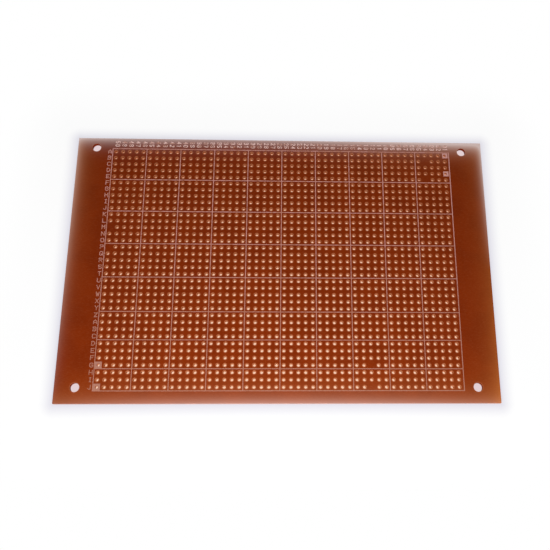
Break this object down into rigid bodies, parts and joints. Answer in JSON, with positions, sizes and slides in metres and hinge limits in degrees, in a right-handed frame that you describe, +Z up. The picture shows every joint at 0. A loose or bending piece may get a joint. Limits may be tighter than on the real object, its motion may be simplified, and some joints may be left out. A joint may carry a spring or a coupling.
{
  "type": "prototype board",
  "caption": "Flat punched prototype board: a phenolic plate with a square grid of lead holes, copper rings beneath, a printed index grid above and corner mounting holes.",
  "frame": {"origin": "centre of the board's outline in plan, on the plane of the copper rings' undersides, on which the board rests", "axes": "+X along the rows of holes, away from the row letters; +Y across the rows, towards the column numbers; +Z up, out of the printed component side"},
  "size_m": [0.153, 0.1, 0.0016],
  "materials": {
    "laminate": "semi-gloss reddish-brown phenolic paper laminate",
    "copper": "bare copper foil under a thin coat of flux lacquer",
    "ink": "thin white screen-printed ink"
  },
  "bodies": {
    "root": {"laminate": "laminate", "copper_pads": "copper", "corner_pads": "copper", "legend": "ink"}
  },
  "joints": []
}
